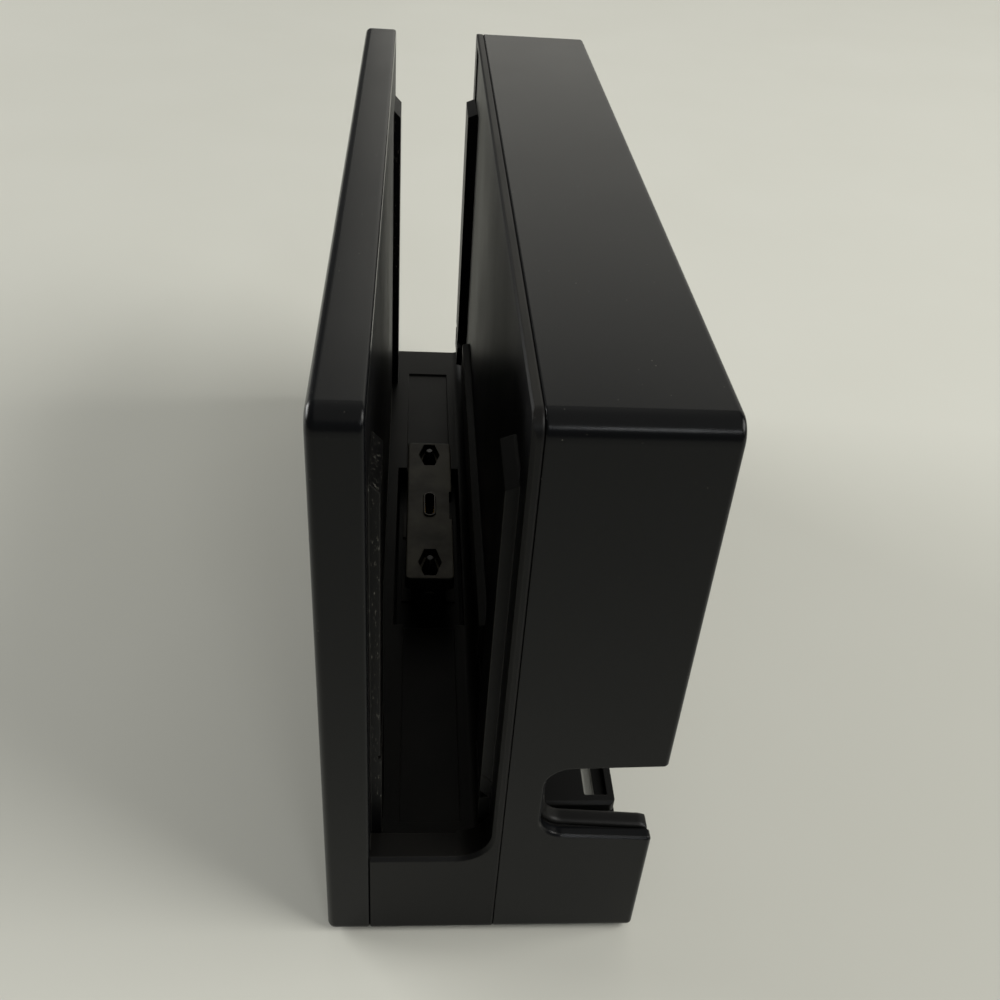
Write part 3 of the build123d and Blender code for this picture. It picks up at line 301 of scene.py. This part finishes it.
def rounded_lip():
    """A rounded lip along the lower edge of the cable notch. Its path lies in Y and Z: it runs in from the
    rear, climbs at a slight angle, turns up through an arc and ends on the upright edge. A section is a
    superellipse; its height grows as a root from the rear end and fades as a cosine at the top."""
    turn = LIP_RADIUS * (np.pi / 2 - LIP_CLIMB)
    s = np.linspace(0, LIP_STRAIGHT + turn + LIP_UPRIGHT, 80)
    heading = np.pi - LIP_CLIMB - np.clip(s - LIP_STRAIGHT, 0, turn) / LIP_RADIUS
    step = s[1] - s[0]
    mean = (heading[1:] + heading[:-1]) / 2
    y = LIP_START_Y + step * np.concatenate([[0], np.cumsum(np.cos(mean))])
    z = LIP_START_Z + step * np.concatenate([[0], np.cumsum(np.sin(mean))])
    swell = np.clip((s + LIP_END) / LIP_SWELL, 0, 1) ** 0.5
    fade = np.cos(np.clip((s - s[-1] + LIP_FADE) / LIP_FADE, 0, 1) * LIP_FADE_ANGLE)
    high = LIP_RISE * swell * fade
    a = np.linspace(0, 2 * np.pi, 32, endpoint=False)[None, :]
    reach = np.where(np.sin(a) > 0, high[:, None], LIP_ROOT)
    over = np.sign(np.sin(a)) * abs(np.sin(a)) ** LIP_POWER * reach
    x = LIP_MIDDLE_X + LIP_HALF_WIDTH * np.sign(np.cos(a)) * abs(np.cos(a)) ** LIP_POWER + 0 * over
    up_y = np.sin(heading)[:, None]
    up_z = -np.cos(heading)[:, None]
    return np.stack([x, y[:, None] + over * up_y, z[:, None] + over * up_z], axis=-1)[None]


def rail_feet():
    """Lower ends of the rear rails. A section is a parallelogram in Y and Z under the sloping foot of a rail,
    carried along X for the length of the rail."""
    section = np.array([
        (RAIL_BACK_Y, FOOT_BACK_Z), (RAIL_BACK_Y, FOOT_BACK_Z + FOOT_HEIGHT),
        (RAIL_FRONT_Y, FOOT_FRONT_Z + FOOT_HEIGHT), (RAIL_FRONT_Y, FOOT_FRONT_Z)])
    x = np.array(RAIL_STARTS_X)[:, None, None] + np.linspace(0, RAIL_LENGTH, 5)[None, :, None] + np.zeros(4)
    return np.stack([x, section[:, 0] + 0 * x, section[:, 1] + 0 * x], axis=-1)


skin("notch_lip", rounded_lip(), FINISHES["inner_black"], "dock_body")
skin("rail_feet", rail_feet(), FINISHES["cradle_black"], "dock_body")

# Screws with a cross recess
HEAD_RADIUS, HEAD_DOME, HEAD_HEIGHT = 2.0, 0.3, 1.2
HEAD_MIDDLE_RADIUS = 0.05
SHANK_RADIUS, SHANK_END = 0.98, 5.2
TIP_RADIUS, TIP_END = 0.4, 5.8
CROSS_HALF_WIDTH, CROSS_HALF_LENGTH, CROSS_DEPTH = 0.26, 1.15, 0.8
CROSS_SIDE_DRAFT, CROSS_END_DRAFT = 0.06, 0.12
CASE_SCREW_Z = (9.25, 95.35)
CASE_SCREW_X, CASE_SCREW_TOP_Y = (-78.0, -2.5), 23.3
DEEP_SCREW_X, DEEP_SCREW_TOP_Y = 75.9, 7.8
BOTTOM_SCREW_X, BOTTOM_SCREW_Y, BOTTOM_SCREW_TOP_Z = (-52.0, 52.0), (-14.1, -2.9), 0.8


def pan_screws(tops, across, beside):
    """Pan-head screws with a cross recess. A section is a circle of radius r round the axis; its depth
    under the top of the head is a parabola in r, plus the recess where the point lies in one of two
    crossed bars. The side of the head, the shank and the tip follow. tops are the middles of the heads."""
    travel = np.cross(across, beside)
    head = np.linspace(HEAD_MIDDLE_RADIUS, HEAD_RADIUS, 26)
    dome = HEAD_DOME * (head / HEAD_RADIUS) ** 2
    radius = np.concatenate([head, [HEAD_RADIUS, SHANK_RADIUS, SHANK_RADIUS, TIP_RADIUS]])[:, None]
    depth = np.concatenate([dome, [HEAD_HEIGHT, HEAD_HEIGHT, SHANK_END, TIP_END]])[:, None]
    turn = np.linspace(0, 2 * np.pi, 96, endpoint=False)[None, :]
    uv = np.stack([radius * np.cos(turn), radius * np.sin(turn)])
    narrow = np.clip((CROSS_HALF_WIDTH - abs(uv)) / CROSS_SIDE_DRAFT, 0, 1)
    long = np.clip((CROSS_HALF_LENGTH - abs(uv)) / CROSS_END_DRAFT, 0, 1)
    bars = np.maximum(narrow[0] * long[1], narrow[1] * long[0])
    recess = CROSS_DEPTH * bars * (np.arange(len(radius)) < len(head))[:, None]
    local = (uv[0][..., None] * np.array(across) + uv[1][..., None] * np.array(beside)
             + (depth + recess)[..., None] * travel)
    return np.array(tops, float)[:, None, None, :] + local


case_tops = [(x, CASE_SCREW_TOP_Y, z) for x in CASE_SCREW_X for z in CASE_SCREW_Z]
case_tops += [(DEEP_SCREW_X, DEEP_SCREW_TOP_Y, z) for z in CASE_SCREW_Z]
bottom_tops = [(x, y, BOTTOM_SCREW_TOP_Z) for x in BOTTOM_SCREW_X for y in BOTTOM_SCREW_Y]
skin("case_screws_cross", pan_screws(case_tops, (1, 0, 0), (0, 0, 1)), FINISHES["screw_black"],
     "dock_body", ["case_screws"])
skin("bottom_screws_cross", pan_screws(bottom_tops, (1, 0, 0), (0, 1, 0)), FINISHES["screw_black"],
     "dock_body", ["bottom_screws"])

# Contacts of the sockets and the plug
CONTACT_THICK, CONTACT_LIFT, CONTACT_SINK = 0.12, 0.05, 0.2
SOCKET_BED_Y = 15.1
SOCKET_BACK, SOCKET_TIP = 4.5, 1.4
SOCKET_KINDS = {
    # Depth and height of the shell, thickness of the tongue, count, pitch and width of the contacts
    "power": (8.0, 3.3, 0.7, 12, 0.5, 0.26),
    "data": (14.0, 5.8, 1.8, 4, 2.3, 1.1),
    "video": (11.0, 5.6, 1.6, 10, 1.0, 0.45),
}
SOCKETS = {
    # X of the mouth, the way it looks along X, Z of the middle, kind
    "power": (6.0, 1, 76.5, "power"),
    "host": (6.0, 1, 57.5, "data"),
    "video": (6.0, 1, 38.2, "video"),
    "side_lower": (-86.2, -1, 59.5, "data"),
    "side_upper": (-86.2, -1, 79.0, "data"),
}
PLUG_Y, PLUG_WALL = -9.15, 0.93
PLUG_CONTACTS, PLUG_PITCH, PLUG_CONTACT_WIDTH = 12, 0.5, 0.26
PLUG_CONTACT_TOP, PLUG_CONTACT_FOOT = 24.3, 21.9


def contacts(starts, ends, across, width, lift):
    """Flat contacts. A section is a rectangle with cut corners, carried along the line from start to end. The
    line stands off its bed by a little and sinks below it over the last sixth. lift points off the bed."""
    starts, ends, across, lift = (np.array(a, float) for a in (starts, ends, across, lift))
    t = np.linspace(0, 1, 13)
    sink = np.clip((t - 5 / 6) * 6, 0, 1) ** 2
    line = starts[:, None] + t[None, :, None] * (ends - starts)[:, None]
    line = line + (CONTACT_LIFT - CONTACT_SINK * sink)[None, :, None] * lift[:, None]
    a = np.array([-0.5, -0.4, 0.4, 0.5, 0.5, 0.4, -0.4, -0.5]) * width
    b = np.array([-0.25, -0.5, -0.5, -0.25, 0.25, 0.5, 0.5, 0.25]) * CONTACT_THICK
    way = (ends - starts) / np.linalg.norm(ends - starts, axis=1)[:, None]
    hand = np.sign(np.einsum("ij,ij->i", np.cross(across, lift), way))[:, None]
    side = (across * hand)[:, None, :] * a[None, :, None] + lift[:, None, :] * b[None, :, None]
    return line[:, :, None, :] + side[:, None, :, :]


for name, (mouth, way, middle, kind) in SOCKETS.items():
    deep, high, tongue, count, pitch, width = SOCKET_KINDS[kind]
    z = np.tile(middle + (np.arange(count) - (count - 1) / 2) * pitch, 2)
    face = np.repeat([1.0, -1.0], count)
    y = SOCKET_BED_Y + high / 2 + face * tongue / 2
    back = np.full(2 * count, mouth - way * (deep - SOCKET_BACK))
    tip = np.full(2 * count, mouth - way * SOCKET_TIP)
    zero = np.zeros(2 * count)
    rows = contacts(np.stack([back, y, z], 1), np.stack([tip, y, z], 1), np.stack([zero, zero, zero + 1], 1),
                    width, np.stack([zero, face, zero], 1))
    skin(name + "_contacts", rows, GOLD, "dock_body")

x = np.tile((np.arange(PLUG_CONTACTS) - (PLUG_CONTACTS - 1) / 2) * PLUG_PITCH, 2)
face = np.repeat([1.0, -1.0], PLUG_CONTACTS)
y = PLUG_Y + face * PLUG_WALL
zero = np.zeros(2 * PLUG_CONTACTS)
rows = contacts(np.stack([x, y, zero + PLUG_CONTACT_TOP], 1), np.stack([x, y, zero + PLUG_CONTACT_FOOT], 1),
                np.stack([zero + 1, zero, zero], 1), PLUG_CONTACT_WIDTH, np.stack([zero, -face, zero], 1))
skin("plug_contacts", rows, GOLD, "connector")

# Desk, in m: a flat square grid of pale laminate with faint cloudy patches
DESK_HALF, DESK_LINES = 2.5, 11
side = np.linspace(-DESK_HALF, DESK_HALF, DESK_LINES)
desk_x, desk_y = np.meshgrid(side, side)
points = np.stack([desk_x, desk_y, 0 * desk_x], -1).reshape(-1, 3)
column, row = np.meshgrid(np.arange(DESK_LINES - 1), np.arange(DESK_LINES - 1))
corner = (row * DESK_LINES + column).ravel()
squares = np.stack([corner, corner + 1, corner + DESK_LINES + 1, corner + DESK_LINES], -1)
floor_mesh = bpy.data.meshes.new("desk")
floor_mesh.from_pydata(points.tolist(), [], squares.tolist())
floor = bpy.data.objects.new("desk", floor_mesh)
bpy.context.scene.collection.objects.link(floor)
laminate, tree, shader, place = start("desk_laminate")
cloud = add(tree, "ShaderNodeTexNoise", {"Vector": place, "Scale": per_mm(DESK_PATCH), "Detail": 4.0})
tone = add(tree, "ShaderNodeMix", {
    0: cloud.outputs[0], 6: linear(DESK_DARK), 7: linear(DESK_LIGHT)}, data_type="RGBA")
tree.links.new(tone.outputs[2], shader.inputs["Base Color"])
shader.inputs["Roughness"].default_value = DESK_ROUGH
floor_mesh.materials.append(laminate)

# Light: places and sizes in m, power in W
DAYLIGHT = (1.0, 0.99, 0.95)
PALE_WALL = (1.0, 0.98, 0.89)
WHITE = (1.0, 1.0, 0.98)
CEILING = (1.0, 0.98, 0.90)
COOL = (0.95, 0.98, 1.0)
ROOM_COLOUR, ROOM_STRENGTH = (1.0, 1.0, 0.96, 1.0), 0.10

world = bpy.data.worlds.new("studio")
bpy.context.scene.world = world
world.use_nodes = True
world.node_tree.nodes["Background"].inputs[0].default_value = ROOM_COLOUR
world.node_tree.nodes["Background"].inputs[1].default_value = ROOM_STRENGTH


def softbox(name, at, to, size, power, colour):
    """A large soft light at one point that looks at another."""
    lamp = bpy.data.lights.new(name, "AREA")
    lamp.shape = "RECTANGLE"
    lamp.size, lamp.size_y = size
    lamp.energy = power
    lamp.color = colour
    obj = bpy.data.objects.new(name, lamp)
    obj.location = at
    obj.rotation_mode = "QUATERNION"
    obj.rotation_quaternion = (Vector(to) - Vector(at)).to_track_quat("-Z", "Y")
    bpy.context.scene.collection.objects.link(obj)


# A key light from the rear, which throws a soft shadow forward on the desk
softbox("key", at=(0.33, 1.39, 1.14), to=(-0.06, 0, 0.03), size=(1.3, 1.0), power=29.8, colour=DAYLIGHT)
# Two pale panels beyond the far end, which the tops mirror
softbox("wall", at=(-1.59, 0.742, 0.68), to=(0, 0, 0.1), size=(1.90, 1.12), power=3.78, colour=PALE_WALL)
softbox("wall_top", at=(-2.0, -0.2, 1.42), to=(0, 0, 0.1), size=(0.8, 0.55), power=0.52, colour=PALE_WALL)
# A low fill from the front, a dim ceiling, and a small strip high behind the camera
softbox("fill", at=(-0.82, -1.66, 0.58), to=(-0.15, 0, 0.03), size=(1.3, 0.64), power=31.8, colour=WHITE)
softbox("ceiling", at=(0.0, 0.2, 1.9), to=(0.0, 0.2, 0.0), size=(4.0, 1.2), power=5.4, colour=CEILING)
softbox("strip", at=(1.75, 0.5, 1.45), to=(0, 0, 0.1), size=(0.36, 0.16), power=3.2, colour=COOL)

# Camera, fitted to the corners of the dock in the photograph
CAMERA_AT = Vector((0.191078, -0.013732, 0.170934))  # m
YAW, PITCH, ROLL = 3.0372, -0.6412, 0.0818  # radians
FOCAL, PICTURE_WIDTH = 1087.6, 1000  # pixels
SENSOR_WIDTH = 36.0  # mm
NEAREST = 0.005  # m

forward = Vector((math.cos(YAW) * math.cos(PITCH), math.sin(YAW) * math.cos(PITCH), math.sin(PITCH)))
level = Vector((math.sin(YAW), -math.cos(YAW), 0))
plumb = level.cross(forward)
right = math.cos(ROLL) * level + math.sin(ROLL) * plumb
up = math.cos(ROLL) * plumb - math.sin(ROLL) * level
camera = bpy.data.objects.new("camera", bpy.data.cameras.new("camera"))
camera.data.sensor_width = SENSOR_WIDTH
camera.data.lens = SENSOR_WIDTH * FOCAL / PICTURE_WIDTH
camera.data.clip_start = NEAREST
camera.matrix_world = Matrix((
    (right.x, up.x, -forward.x, CAMERA_AT.x), (right.y, up.y, -forward.y, CAMERA_AT.y),
    (right.z, up.z, -forward.z, CAMERA_AT.z), (0, 0, 0, 1)))
bpy.context.scene.collection.objects.link(camera)
bpy.context.scene.camera = camera
bpy.context.scene.view_settings.view_transform = "Standard"
